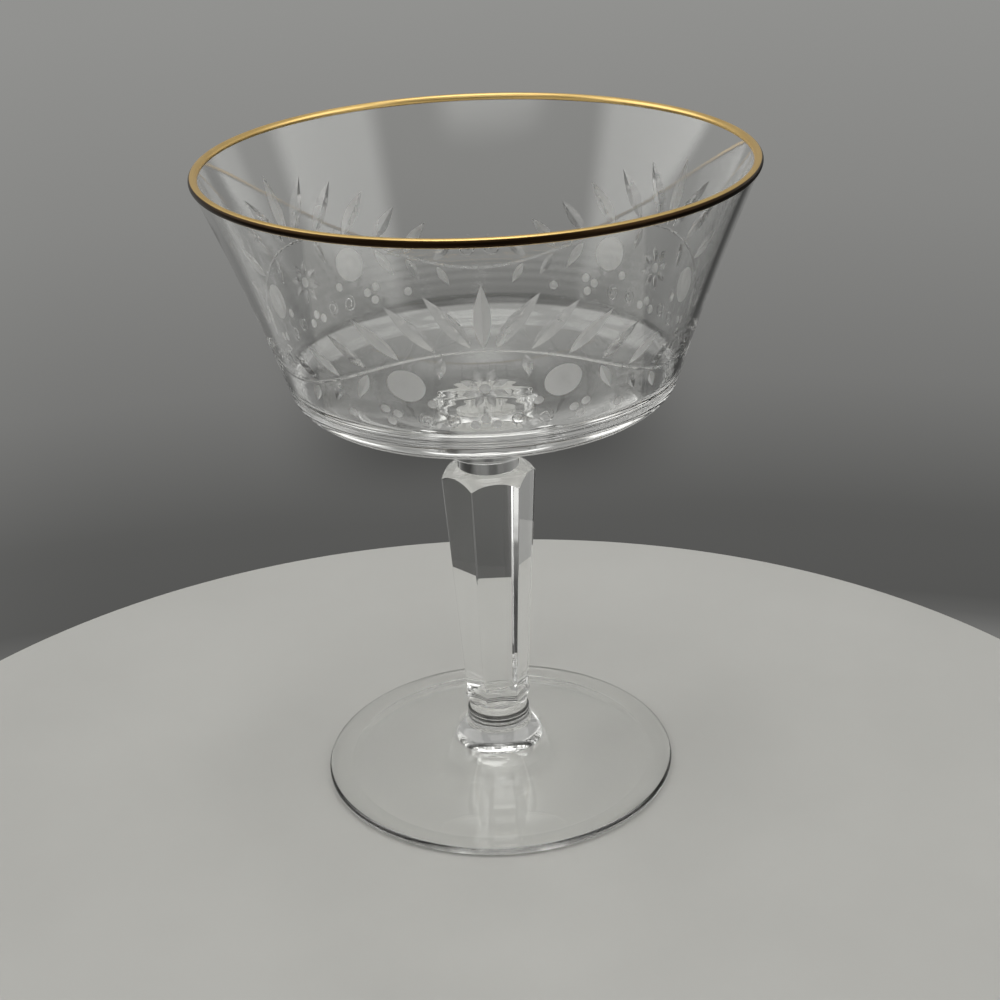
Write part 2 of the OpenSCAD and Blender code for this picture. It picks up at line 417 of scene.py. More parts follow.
class CutPlan:
    """Layout of the cuts in one repeat of the band, in a flat plane: x round, y up the wall."""

    def __init__(self):
        self.points = []
        self.depths = []
        self.shapes = []

    def point(self, place, depth=0.0):
        self.points.append(place)
        self.depths.append(depth)
        return len(self.points) - 1

    def shape(self, indices, finish):
        """Adds a closed outline, turned anticlockwise so that its faces lie inside it."""
        ring = [self.points[i] for i in indices]
        area = sum(a[0] * b[1] - b[0] * a[1] for a, b in zip(ring, ring[1:] + ring[:1]))
        self.shapes.append((indices if area > 0 else indices[::-1], finish))

    def leaf(self, x, y, angle, length, width, depth, steps=12, finish=CUT):
        """Mitred cut, pointed at both ends, deepest along its middle line."""
        a = math.radians(angle)
        along, across = (math.cos(a), math.sin(a)), (-math.sin(a), math.cos(a))
        stretch = BAND_R / wall_point(BAND_MIDDLE + y)[0][0]

        def place(t, side):
            forward = t * length
            aside = side * width / 2 * math.sin(math.pi * t ** LEAF_SKEW)
            return (x + (forward * along[0] + aside * across[0]) * stretch,
                    y + forward * along[1] + aside * across[1])

        ends = [self.point(place(0, 0)), self.point(place(1, 0))]
        inner = [i / steps for i in range(1, steps)]
        ridge = [self.point(place(t, 0), depth * math.sin(math.pi * t ** LEAF_SKEW)) for t in inner]
        for side in (1, -1):
            edge = [self.point(place(t, side)) for t in inner]
            self.shape([ends[0], *edge, ends[1], *reversed(ridge)], finish)

    def dish(self, x, y, radius, depth, around=36, rings=(0.5, 0.8)):
        """Round shallow hollow, ground by the edge of a wheel."""
        stretch = BAND_R / wall_point(BAND_MIDDLE + y)[0][0]

        def ring(share, count, sunk):
            return [self.point((x + stretch * radius * share * math.cos(math.tau * i / count),
                                y + radius * share * math.sin(math.tau * i / count)), sunk)
                    for i in range(count)]

        self.shape(ring(1.0, around, 0.0), MATT)
        for share in rings:
            ring(share, max(6, round(around * share)), depth * (1 - share * share))
        self.point((x, y), depth)

    def line(self, path, width, depth, taper=True):
        """Fine groove along a path, tapering to a point at both ends unless it runs on."""
        count = len(path)
        sides = []
        for i, (x, y) in enumerate(path):
            before, after = path[max(i - 1, 0)], path[min(i + 1, count - 1)]
            dx, dy = after[0] - before[0], after[1] - before[1]
            size = math.hypot(dx, dy)
            half = width / 2
            if taper:
                half *= min(1.0, LINE_TAPER * min(i, count - 1 - i) / count)
            if not taper and i in (0, count - 1):
                sides.append((x, y, 0.0, half))
            else:
                sides.append((x, y, -dy / size * half, dx / size * half))
        middle = [self.point((x, y), depth if half or not taper else 0.0)
                  for (x, y, _, half) in sides]
        for side in (1, -1):
            edge = []
            for k, (x, y, ox, oy) in enumerate(sides):
                if ox or oy:
                    edge.append(self.point((x + side * ox, y + side * oy)))
                else:
                    edge.append(middle[k])
            self.shape([*edge, *[m for m in reversed(middle) if m not in edge]], CUT)


# Sizes of the cuts in the band
BRANCH_Y, BRANCH_RISE = -3.4, 6.0
BRANCH_W = 0.5
BRANCH_STEPS = 96
LINE_DEPTH = 0.14
LINE_TAPER = 5
TENDRIL_W = 0.36
TENDRIL_EYE_R = 0.45
TENDRIL_TURNS = 1.6
MITRE = 0.42
LEAF_SKEW = 0.85
LEAF_GAP = 0.6
DISH_X, DISH_DROP = 13.6, 4.9
DISH_R, DISH_DEPTH = 3.3, 0.3
BERRY_R, BERRY_DEPTH = 0.85, 0.2
PETALS = 8
PETAL_L = 3.0
PETAL_GAP = 0.15
ROSETTE_EYE_R = 1.15
ROSETTE_Y, LOW_BERRY_Y = -5.2, -11.7

# Leaves on one hand of the branch: place along it, lean away from upright, length and width,
# with each size's change from leaf to leaf where they come in a row
MIDDLE_LEAF_L, MIDDLE_LEAF_W = 12.8, 2.7
FIRST_LEAF = (1.9, 32, 12.4, 2.9)
UNDER_LEAF = (6.6, 12, 4.8, 1.7)
UPPER_LEAVES, UPPER_LEAF, UPPER_CHANGE = 5, (7.6, 38, 11.4, 2.8), (6.4, 3, -1.4, -0.2)
LOWER_LEAVES, LOWER_LEAF, LOWER_CHANGE = 3, (20.5, 30, 6.2, 1.9), (6.6, 0, -0.9, -0.15)

# Berries and tendrils on one hand: place round and up the band, and a tendril's size
BERRIES = ((2.0, -12.9), (9.4, -8.6), (16.4, -11.2), (18.7, -10.4), (17.9, -12.9), (26.4, -12.6))
TENDRILS = ((5.8, -11.9, 1.6), (10.9, -12.2, 1.7), (40.4, -5.2, 2.1))


def branch(x):
    """Height of the branch at a place round the band: high in the middle of a repeat."""
    return BRANCH_Y + BRANCH_RISE * math.cos(math.tau * x / REPEAT_W)


def spiral(x, y, first_r, last_r, start, turns, steps=40):
    """Path of a tendril that winds in towards its middle."""
    path = []
    for i in range(steps + 1):
        t = i / steps
        a = math.radians(start + 360 * turns * t)
        r = first_r + (last_r - first_r) * t
        path.append((x + r * math.cos(a), y + r * math.sin(a)))
    return path


def leaf(plan, x, angle, length, width, finish=CUT):
    """Mitred leaf that springs from the branch, above it or below."""
    gap = LEAF_GAP if math.sin(math.radians(angle)) > 0 else -LEAF_GAP
    plan.leaf(x, branch(x) + gap, angle, length, width, MITRE * width / 2, finish=finish)


def berry(plan, x, y):
    plan.dish(x, y, BERRY_R, BERRY_DEPTH, around=16, rings=(0.5,))


def rosette(plan, x, y):
    """Round flower of mitred petals about a matt eye."""
    for i in range(PETALS):
        a = 360 * (i + 0.5) / PETALS
        px, py = polar((x, y), ROSETTE_EYE_R + PETAL_GAP, a)
        plan.leaf(px, py, a, PETAL_L, PETAL_L / 2, MITRE * PETAL_L / 4, steps=8)
    plan.dish(x, y, ROSETTE_EYE_R - PETAL_GAP, BERRY_DEPTH, around=14, rings=(0.5,))


def leaf_row(plan, hand, upright, count, first, change, finishes):
    """Leaves one after another along the branch, with two finishes by turns."""
    for i in range(count):
        x, lean, length, width = (size + step * i for size, step in zip(first, change))
        leaf(plan, hand * x, upright * (90 - hand * lean), length, width, finishes[i % 2])


def half_spray(plan, hand):
    """Leaves, hollows, berries and tendrils of the branch on one hand of its middle."""
    single = (0, 0, 0, 0)
    leaf_row(plan, hand, 1, 1, FIRST_LEAF, single, (CUT,))
    leaf_row(plan, hand, 1, UPPER_LEAVES, UPPER_LEAF, UPPER_CHANGE, (CUT, MATT))
    leaf_row(plan, hand, -1, 1, UNDER_LEAF, single, (CUT,))
    leaf_row(plan, hand, -1, LOWER_LEAVES, LOWER_LEAF, LOWER_CHANGE, (MATT, CUT))
    plan.dish(hand * DISH_X, branch(DISH_X) - DISH_DROP, DISH_R, DISH_DEPTH)
    for x, y in BERRIES:
        berry(plan, hand * x, y)
    for x, y, radius in TENDRILS:
        path = spiral(hand * x, y, radius, TENDRIL_EYE_R, 90, -hand * TENDRIL_TURNS)
        plan.line(path, TENDRIL_W, LINE_DEPTH)


def cut_plan():
    """One repeat of a leafy branch with a rosette under its middle."""
    plan = CutPlan()
    half = REPEAT_W / 2
    spots = [half * (2 * i / BRANCH_STEPS - 1) for i in range(BRANCH_STEPS + 1)]
    plan.line([(x, branch(x)) for x in spots], BRANCH_W, LINE_DEPTH, taper=False)
    leaf(plan, 0.0, 90, MIDDLE_LEAF_L, MIDDLE_LEAF_W, MATT)
    rosette(plan, 0.0, ROSETTE_Y)
    berry(plan, 0.0, LOW_BERRY_Y)
    for hand in (1, -1):
        half_spray(plan, hand)
    return plan


def band_sector(sector):
    """Adds one repeat of the cut band: a flat layout of triangles laid on the wall and sunk."""
    plan = cut_plan()
    half_w, half_h = REPEAT_W / 2, BAND_H / 2
    cut_points = np.array(plan.points)
    edge_rows = [half_h * (2 * i / BAND_ROWS - 1) for i in range(BAND_ROWS + 1)]
    edge_columns = [half_w * (2 * k / BAND_COLUMNS - 1) for k in range(BAND_COLUMNS + 1)]
    clearance = 0.45
    for i, y in enumerate(edge_rows):
        for k, x in enumerate(edge_columns):
            rim = i in (0, BAND_ROWS) or k in (0, BAND_COLUMNS)
            near = np.hypot(cut_points[:, 0] - x, cut_points[:, 1] - y).min() < clearance
            if (rim and not (near and k in (0, BAND_COLUMNS))) or not near:
                plan.point((x, y))
    places, _, faces, came_from, _, owners = delaunay_2d_cdt(
        [Vector(p) for p in plan.points], [], [indices for indices, _ in plan.shapes], 0, 1e-6)
    start = len(sector.points)
    for place, sources in zip(places, came_from):
        if not sources:
            raise ValueError(f"cuts cross near {tuple(place)}")
        (r, z), (nr, nz) = wall_point(BAND_MIDDLE + place[1])
        sunk = max(plan.depths[s] for s in sources)
        r, z, a = r - sunk * nr, z - sunk * nz, place[0] / BAND_R
        sector.points.append((r * math.cos(a), r * math.sin(a), z))
    for face, owner in zip(faces, owners):
        corners = tuple(start + i for i in face)
        if owner:
            sector.face(corners, WALL_FACET + 1 + owner[0], plan.shapes[owner[0]][1])
        else:
            sector.face(corners, WALL_FACET, POLISHED)


def wall_normals(points):
    """Outward normals of the plain outer wall."""
    r = np.hypot(points[:, 0], points[:, 1])
    nr, nz = WALL_C[0] - r, WALL_C[1] - points[:, 2]
    size = np.hypot(nr, nz)
    return np.c_[nr / size * points[:, 0] / r, nr / size * points[:, 1] / r, nz / size]


def make_bowl(materials):
    sector = Sector()
    under = Outline((0.0, BOWL_Z)).to((SEAT_R, BOWL_Z), JOINT, 3).corner()
    under.arc(UNDERSIDE_C, UNDERSIDE_R, heading(UNDERSIDE_C, (SEAT_R, BOWL_Z)), SHOULDER_LOW_A,
              LONG_ARC_STEPS)
    under.arc(SHOULDER_C, SHOULDER_R, SHOULDER_LOW_A, SHOULDER_WALL_A - 180, SHOULDER_STEPS)
    sector.turn(under, BAND_SPAN, BAND_COLUMNS)
    for first, last, rows in ((0.0, BAND_LOW, 1), (BAND_LOW + BAND_H, WALL_RUN, PLAIN_ROWS)):
        strip = Outline(wall_point(first)[0])
        strip.facet = WALL_FACET
        for i in range(1, rows + 1):
            strip.to(wall_point(first + (last - first) * i / rows)[0])
        sector.turn(strip, BAND_SPAN, BAND_COLUMNS)
    band_sector(sector)
    inside = Outline(LIP_OUT)
    inside.facet = LIP_FACET
    inside.arc(LIP_C, LIP_R - GILDING_T - GOLD_BED, LIP_FROM, LIP_TO, LIP_STEPS)
    inside.to(LIP_IN)
    inside.corner()
    first = heading(WALL_C, LIP_IN) % 360
    for i in range(1, INNER_ROWS + 1):
        share = i / INNER_ROWS
        low_down = max(0.0, share - 1 + RINGS_SHARE) / RINGS_SHARE
        wave = RING_HEIGHT * math.sin(math.tau * RINGS * low_down) * math.sin(math.pi * low_down)
        inside.to(polar(WALL_C, INNER_R - wave, first + (CORNER_WALL_A - first) * share))
    inside.arc(CORNER_C, INNER_CORNER_R, CORNER_WALL_A - 180, CORNER_LOW_A, CORNER_STEPS)
    inside.arc(FLOOR_C, FLOOR_R, CORNER_LOW_A, heading(FLOOR_C, (FLOOR_FLAT_R, BOWL_Z + FLOOR_T)),
               LONG_ARC_STEPS)
    inside.to((0.0, BOWL_Z + FLOOR_T))
    sector.turn(inside, BAND_SPAN, BAND_COLUMNS)
    repeat_piece("bowl_glass", sector, ["bowl"], materials,
                 -math.pi / 2, (WALL_FACET, wall_normals), BAND_REPEATS)


def make_gilding(materials):
    sector = Sector()
    skin = Outline(polar(LIP_C, LIP_R, LIP_FROM))
    skin.arc(LIP_C, LIP_R, LIP_FROM, LIP_TO, GOLD_STEPS)
    skin.corner().to(polar(LIP_C, LIP_R - GILDING_T, LIP_TO)).corner()
    skin.arc(LIP_C, LIP_R - GILDING_T, LIP_TO, LIP_FROM, LIP_STEPS)
    skin.corner().to(polar(LIP_C, LIP_R, LIP_FROM))
    sector.turn(skin, SPAN)
    repeat_piece("rim_gold", sector, ["rim_gilding"], materials)


def make_button(materials):
    sector = Sector()
    flare = (SEAT_R - BUTTON_LOW_R, BOWL_Z - BUTTON_Z - BUTTON_EDGE_R)
    flare_r = (flare[0] ** 2 + flare[1] ** 2) / (2 * flare[0])
    flare_c = (BUTTON_LOW_R + flare_r, BUTTON_Z + BUTTON_EDGE_R)
    side = Outline((0.0, BUTTON_Z)).to((NECK_R, BUTTON_Z), JOINT, 2).corner()
    side.arc((BUTTON_LOW_R - BUTTON_EDGE_R, BUTTON_Z + BUTTON_EDGE_R), BUTTON_EDGE_R, -90, 0,
             BUTTON_STEPS)
    side.arc(flare_c, flare_r, 180, heading(flare_c, (SEAT_R, BOWL_Z)) % 360, LONG_ARC_STEPS)
    side.corner().to((0.0, BOWL_Z), JOINT, 2)
    sector.turn(side, SPAN)
    repeat_piece("bowl_button_glass", sector, ["bowl_button"], materials)


# Facets of the stem, rows of its faces up it, and steps across an arris and half a panel
LOW_END, SWELL, PANEL, ARRIS, DOME, NECK, STEM_END = range(7)
SWELL_ROWS, RUN_OUT_ROWS, PANEL_ROWS, DOME_ROWS = 3, 8, 6, 10
ARRIS_STEPS, FLAT_STEPS = 3, 5
HALVINGS = 40

# Levels and reaches of the stem, the lean of its panels and the arc in which they run out below
NECK_Z = BUTTON_Z - NECK_H
DOME_Z = NECK_Z - math.sqrt(DOME_R ** 2 - (NECK_R - DOME_CENTRE) ** 2)
BODY_R = DOME_CENTRE + DOME_R
LEAN = math.atan((PANEL_TOP - PANEL_LOW) / (DOME_Z - STEM_Z - STEM_LOW_H))
PANEL_END = (PANEL_LOW + (PANEL_END_H - STEM_LOW_H) * math.tan(LEAN), STEM_Z + PANEL_END_H)
RUN_OUT_C = (PANEL_END[0] + PANEL_END_R * math.cos(LEAN),
             PANEL_END[1] - PANEL_END_R * math.sin(LEAN))


def panel_depth(z):
    """Distance of a panel's face from the axis at a level."""
    if z >= PANEL_END[1]:
        return PANEL_END[0] + (z - PANEL_END[1]) * math.tan(LEAN)
    return RUN_OUT_C[0] - math.sqrt(max(PANEL_END_R ** 2 - (z - RUN_OUT_C[1]) ** 2, 0.0))


def dome_reach(z):
    return DOME_CENTRE + math.sqrt(max(DOME_R ** 2 - (z - DOME_Z) ** 2, 0.0))


def swell_reach(z):
    return STEM_LOW_R + (z - STEM_Z - STEM_LOW_H) * (BODY_R - STEM_LOW_R) / STEM_SWELL_H


def crossing(inside, a, b):
    """Place between a, where inside holds, and b, where it doesn't, at which it ends."""
    for _ in range(HALVINGS):
        middle = (a + b) / 2
        a, b = (middle, b) if inside(middle) else (a, middle)
    return (a + b) / 2


def stem_columns():
    """Angles across a panel, arris to arris, and its reach there as a share of its depth."""
    half = math.pi / PANELS
    centre = (1 - ARRIS_SHARE) / math.cos(half)
    flat_to = math.atan2((1 - ARRIS_SHARE) * math.tan(half), 1.0)
    rounding = []
    for i in range(ARRIS_STEPS + 1):
        a = half * (i / ARRIS_STEPS)
        spot = (centre * math.cos(half) + ARRIS_SHARE * math.cos(a),
                centre * math.sin(half) + ARRIS_SHARE * math.sin(a))
        rounding.append((math.atan2(spot[1], spot[0]), math.hypot(*spot)))
    flat = [(flat_to * k / FLAT_STEPS, 1 / math.cos(flat_to * k / FLAT_STEPS))
            for k in range(1 - FLAT_STEPS, FLAT_STEPS)]
    left = [(-a, r) for a, r in reversed(rounding)]
    return [*left, *flat, *rounding]


def make_stem(materials):
    """One panel with its share of the round ends, repeated about the axis."""
    sector = Sector()
    columns = stem_columns()
    rows, marks = [], []

    def row(reach_at, mark):
        line = []
        for a, share in columns:
            r, z = reach_at(a, share)
            line.append((r * math.cos(a), r * math.sin(a), z))
        rows.append(line)
        marks.append(mark)

    ends = {}
    for a, share in columns:
        bottom = crossing(lambda z: swell_reach(z) < panel_depth(z) * share,
                          STEM_Z + STEM_LOW_H, PANEL_END[1])
        top = crossing(lambda z: panel_depth(z) * share < dome_reach(z), DOME_Z, NECK_Z)
        ends[a] = (bottom, top)
    swell_z = STEM_Z + STEM_LOW_H
    row(lambda a, s: (STEM_LOW_R, STEM_Z), LOW_END)
    row(lambda a, s: (STEM_LOW_R, STEM_Z + STEM_LOW_H / 2), LOW_END)
    row(lambda a, s: (STEM_LOW_R, swell_z), SWELL)
    for i in range(1, SWELL_ROWS):
        def swell(a, s):
            z = swell_z + (ends[a][0] - swell_z) * i / SWELL_ROWS
            return swell_reach(z), z
        row(swell, SWELL)
    run_out_top = RUN_OUT_C[1]
    for i in range(RUN_OUT_ROWS):
        def run_out(a, s):
            z = ends[a][0] + (run_out_top - ends[a][0]) * i / RUN_OUT_ROWS
            return panel_depth(z) * s, z
        row(run_out, PANEL)
    for i in range(PANEL_ROWS + 1):
        def panel(a, s):
            z = run_out_top + (ends[a][1] - run_out_top) * i / PANEL_ROWS
            return panel_depth(z) * s, z
        row(panel, PANEL if i < PANEL_ROWS else DOME)
    dome_top = math.degrees(math.asin((NECK_Z - DOME_Z) / DOME_R))
    for i in range(1, DOME_ROWS + 1):
        def dome(a, s):
            low_a = math.degrees(math.asin((ends[a][1] - DOME_Z) / DOME_R))
            turn = (dome_top - low_a) * i / DOME_ROWS
            return polar((DOME_CENTRE, DOME_Z), DOME_R, low_a + turn)
        row(dome, DOME if i < DOME_ROWS else NECK)
    row(lambda a, s: (NECK_R, (NECK_Z + BUTTON_Z) / 2), NECK)
    row(lambda a, s: (NECK_R, BUTTON_Z), NECK)
    last = len(columns) - 1

    def facet_of(i, k):
        at_arris = k < ARRIS_STEPS or k >= last - ARRIS_STEPS
        return ARRIS if marks[i] == PANEL and at_arris else marks[i]

    sector.grid(rows, facet_of)
    for row_points, z, turn in ((rows[0], STEM_Z, True), (rows[-1], BUTTON_Z, False)):
        first = len(sector.points)
        sector.points.extend([(0.0, 0.0, z), *row_points])
        for k in range(last):
            corners = (first, first + k + 1, first + k + 2)
            sector.face(corners[::-1] if turn else corners, STEM_END, JOINT)
    repeat_piece("stem_glass", sector, ["stem"], materials,
                 math.radians(PANEL_TURN) + math.pi / PANELS)


def make_collar(materials):
    sector = Sector()
    ring_r = (STEM_Z - COLLAR_Z) / 4
    ring_c = reach("foot_collar") - ring_r
    side = Outline((0.0, COLLAR_Z)).to((ring_c, COLLAR_Z), JOINT, 2).corner()
    side.arc((ring_c, COLLAR_Z + ring_r), ring_r, -90, 90, RING_STEPS).corner()
    side.arc((ring_c, COLLAR_Z + 3 * ring_r), ring_r, -90, 90, RING_STEPS)
    side.corner().to((0.0, STEM_Z), JOINT, 2)
    sector.turn(side, SPAN)
    repeat_piece("collar_glass", sector, ["foot_collar"], materials)


def make_foot(materials):
    sector = Sector()
    foot_r, top = reach("foot"), (reach("foot_collar"), COLLAR_Z)
    edge_r = FOOT_EDGE_T / 2
    edge_c = (foot_r - edge_r, edge_r)
    plate_c = polar(edge_c, edge_r + PLATE_R, 90 - PLATE_EDGE_SLOPE)
    sweep_c = meeting(plate_c, PLATE_R - FOOT_SWEEP_R, top, FOOT_SWEEP_R)
    sweep_low = heading(plate_c, sweep_c)
    hollow_edge = edge_c[0] - REST_RING_W
    hollow_r = (hollow_edge ** 2 + FOOT_HOLLOW ** 2) / (2 * FOOT_HOLLOW)
    hollow_c = (0.0, FOOT_HOLLOW - hollow_r)
    side = Outline((0.0, FOOT_HOLLOW))
    side.arc(hollow_c, hollow_r, heading(hollow_c, (HOLLOW_FLAT_R, FOOT_HOLLOW)),
             heading(hollow_c, (hollow_edge, 0.0)), LONG_ARC_STEPS)
    side.corner().to((edge_c[0], 0.0), POLISHED, 2)
    side.arc(edge_c, edge_r, -90, 90 - PLATE_EDGE_SLOPE, EDGE_STEPS)
    side.arc(plate_c, PLATE_R, -90 - PLATE_EDGE_SLOPE, sweep_low, PLATE_STEPS)
    side.arc(sweep_c, FOOT_SWEEP_R, sweep_low, heading(sweep_c, top), SWEEP_STEPS)
    side.corner().to((0.0, COLLAR_Z), JOINT, 2)
    sector.turn(side, SPAN)
    repeat_piece("foot_glass", sector, ["foot"], materials)


def new_material(name):
    material = bpy.data.materials.new(name)
    material.use_nodes = True
    tree = material.node_tree
    return material, tree, tree.nodes["Principled BSDF"]


def value_range(tree, value, low_end, high_end):
    """A value from 0 to 1 stretched between two ends."""
    return add_node(tree, "ShaderNodeMapRange", Value=value,
                    To_Min=low_end, To_Max=high_end).outputs[0]


def noise(tree, place, scale, **settings):
    return add_node(tree, "ShaderNodeTexNoise", Vector=place, Scale=scale, **settings).outputs[0]


def stretched(tree, value, low_end, high_end):
    """Soft step from 0 to 1 as a value goes from one end to another."""
    return add_node(tree, "ShaderNodeMapRange", {"interpolation_type": "SMOOTHSTEP"}, Value=value,
                    From_Min=low_end, From_Max=high_end).outputs[0]


def new_group(name, inputs, outputs):
    group = bpy.data.node_groups.new(name, "ShaderNodeTree")
    for label, default in inputs:
        socket = group.interface.new_socket(label, in_out="INPUT", socket_type="NodeSocketFloat")
        socket.default_value = default
    for label in outputs:
        group.interface.new_socket(label, in_out="OUTPUT", socket_type="NodeSocketFloat")
    given, out = group.nodes.new("NodeGroupInput"), group.nodes.new("NodeGroupOutput")
    return group, given.outputs, out.inputs


def film_group():
    """Faint film left by wiping: patches, and fine streaks round the piece."""
    group, given, out = new_group("wiped film", [("Low", 0.0), ("High", 0.03)],
                                  ["Roughness", "Patches"])
    place = group.nodes.new("ShaderNodeTexCoord").outputs["Object"]
    patches = noise(group, place, 60.0, Detail=3.0, Roughness=0.55, Distortion=0.6)
    drawn = add_node(group, "ShaderNodeMapping", Vector=place, Scale=(1.0, 1.0, 14.0))
    streaks = noise(group, drawn.outputs[0], 90.0, Detail=2.0)
    both = math_node(group, "MULTIPLY", patches, streaks)
    shown =add_node(group, "ShaderNodeMapRange", Value=both, From_Min=0.18, From_Max=0.42,
                     To_Min=given["Low"], To_Max=given["High"])
    group.links.new(shown.outputs[0], out["Roughness"])
    group.links.new(patches, out["Patches"])
    return group


def ripple_group():
    """Slow unevenness of glass worked hot, drawn out round the axis."""
    group, given, out = new_group("hot glass ripple", [("Scale", 45.0)], ["Height"])
    place = group.nodes.new("ShaderNodeTexCoord").outputs["Object"]
    drawn = add_node(group, "ShaderNodeMapping", Vector=place, Scale=(1.0, 1.0, 2.2))
    waves = noise(group, drawn.outputs[0], given["Scale"], Detail=1.0, Roughness=0.4)
    group.links.new(waves, out["Height"])
    return group


def grain_group():
    """Fine pits left by a grinding wheel."""
    group, given, out = new_group("wheel grain", [("Low", 0.2), ("High", 0.4)],
                                  ["Roughness", "Height"])
    place = group.nodes.new("ShaderNodeTexCoord").outputs["Object"]
    pits = noise(group, place, 2600.0, Detail=2.0)
    cloud = noise(group, place, 260.0, Detail=2.0)
    shown = add_node(group, "ShaderNodeMapRange", Value=cloud, From_Min=0.3, From_Max=0.7,
                     To_Min=given["Low"], To_Max=given["High"])
    group.links.new(shown.outputs[0], out["Roughness"])
    group.links.new(pits, out["Height"])
    return group


# Grooves of the collar, along which a dark line of painted shade is laid, and the line's half width
GROOVES = {"Lowest": COLLAR_Z * MM, "Middle": (COLLAR_Z + STEM_Z) / 2 * MM, "Highest": STEM_Z * MM}
GROOVE_CORE, GROOVE_REACH = 0.24, 0.36


def groove_group():
    """Where a surface lies close to one of three grooves round it, given by their levels: the mask
    of the painted groove shade.
    """
    group, given, out = new_group("groove line", GROOVES.items(), ["Mask"])
    place = group.nodes.new("ShaderNodeTexCoord").outputs["Object"]
    level = add_node(group, "ShaderNodeSeparateXYZ", Vector=place).outputs[2]
    gaps = [math_node(group, "SUBTRACT", level, given[label]) for label in GROOVES]
    lowest, middle, highest = [math_node(group, "ABSOLUTE", gap) for gap in gaps]
    nearest = math_node(group, "MINIMUM", math_node(group, "MINIMUM", lowest, middle), highest)
    away = stretched(group, nearest, GROOVE_CORE * MM, GROOVE_REACH * MM)
    group.links.new(math_node(group, "SUBTRACT", 1.0, away), out["Mask"])
    return group


FILM, RIPPLE, GRAIN, GROOVE = film_group(), ripple_group(), grain_group(), groove_group()
GLASS_IOR = 1.52

# Pairs of close tints between which a surface varies, and the tint of the painted shade in the
# grooves
CLEAR_TINTS = (0.985, 0.99, 0.985, 1), (1.0, 1.0, 0.997, 1)
GROUND_TINTS = (0.97, 0.97, 0.965, 1), (1.0, 1.0, 1.0, 1)
GOLD_TINTS = (0.90, 0.60, 0.21, 1), (0.98, 0.71, 0.30, 1)
# Near-black tints of the gold's outer face: a painted dark reflection of the dim room in front
DARK_REFLECTION_TINTS = (0.022, 0.012, 0.006, 1), (0.045, 0.026, 0.012, 1)
FLOOR_TINTS = (0.46, 0.456, 0.44, 1), (0.55, 0.546, 0.53, 1)
# Near-black line of painted shade along the collar's grooves
GROOVE_SHADE_TINT = (0.03, 0.03, 0.028, 1)

# Where the painted dark reflection on the gold's outer face begins and is full, as shares of the
# lip's radius
DARK_REFLECTION_FROM, DARK_REFLECTION_TO = 0.55, 0.75
BRUSH_DEPTH = 0.003


def use_group(tree, group, **inputs):
    return add_node(tree, "ShaderNodeGroup", {"node_tree": group}, **inputs).outputs


def mixed(tree, mask, first, second):
    """Colour between two by a mask, each a fixed tint or the colour of a socket."""
    return add_node(tree, "ShaderNodeMix", {"data_type": "RGBA"},
                    _0=mask, _6=first, _7=second).outputs[2]


def set_surface(tree, shader, colour, roughness, height, depth):
    """Links the varying colour and roughness, and relief of a depth."""
    bump = add_node(tree, "ShaderNodeBump", Height=height, Distance=depth * MM, Strength=1.0)
    tree.links.new(colour, shader.inputs["Base Color"])
    tree.links.new(roughness, shader.inputs["Roughness"])
    tree.links.new(bump.outputs[0], shader.inputs["Normal"])


def clear_glass(name, film_high, ripple_scale, ripple_depth, shaded_grooves=False):
    """Polished glass with a faint film and slow ripple, and a dark line of painted shade along the
    collar's grooves when asked.
    """
    material, tree, shader = new_material(name)
    film = use_group(tree, FILM, Low=0.0, High=film_high)
    ripple = use_group(tree, RIPPLE, Scale=ripple_scale)
    tint = mixed(tree, film["Patches"], *CLEAR_TINTS)
    if shaded_grooves:
        # Painted shade: a near-black line along each of the collar's grooves
        tint = mixed(tree, use_group(tree, GROOVE, **GROOVES)["Mask"], tint, GROOVE_SHADE_TINT)
    set_surface(tree, shader, tint, film["Roughness"], ripple["Height"], ripple_depth)
    shader.inputs["IOR"].default_value = GLASS_IOR
    shader.inputs["Transmission Weight"].default_value = 1.0
    return material


def ground_glass(name, low_end, high_end, grain_depth, clear):
    """Glass left dull by the wheel."""
    material, tree, shader = new_material(name)
    grain = use_group(tree, GRAIN, Low=low_end, High=high_end)
    tint = mixed(tree, grain["Height"], *GROUND_TINTS)
    set_surface(tree, shader, tint, grain["Roughness"], grain["Height"], grain_depth)
    shader.inputs["IOR"].default_value = GLASS_IOR
    shader.inputs["Transmission Weight"].default_value = clear
    return material


def hot_joint():
    """Fused joint inside the glass: light passes straight on, as there is no surface there."""
    material, tree, shader = new_material("hot joint")
    tree.nodes.remove(shader)
    clear = tree.nodes.new("ShaderNodeBsdfTransparent")
    tree.links.new(clear.outputs[0], tree.nodes["Material Output"].inputs["Surface"])
    return material


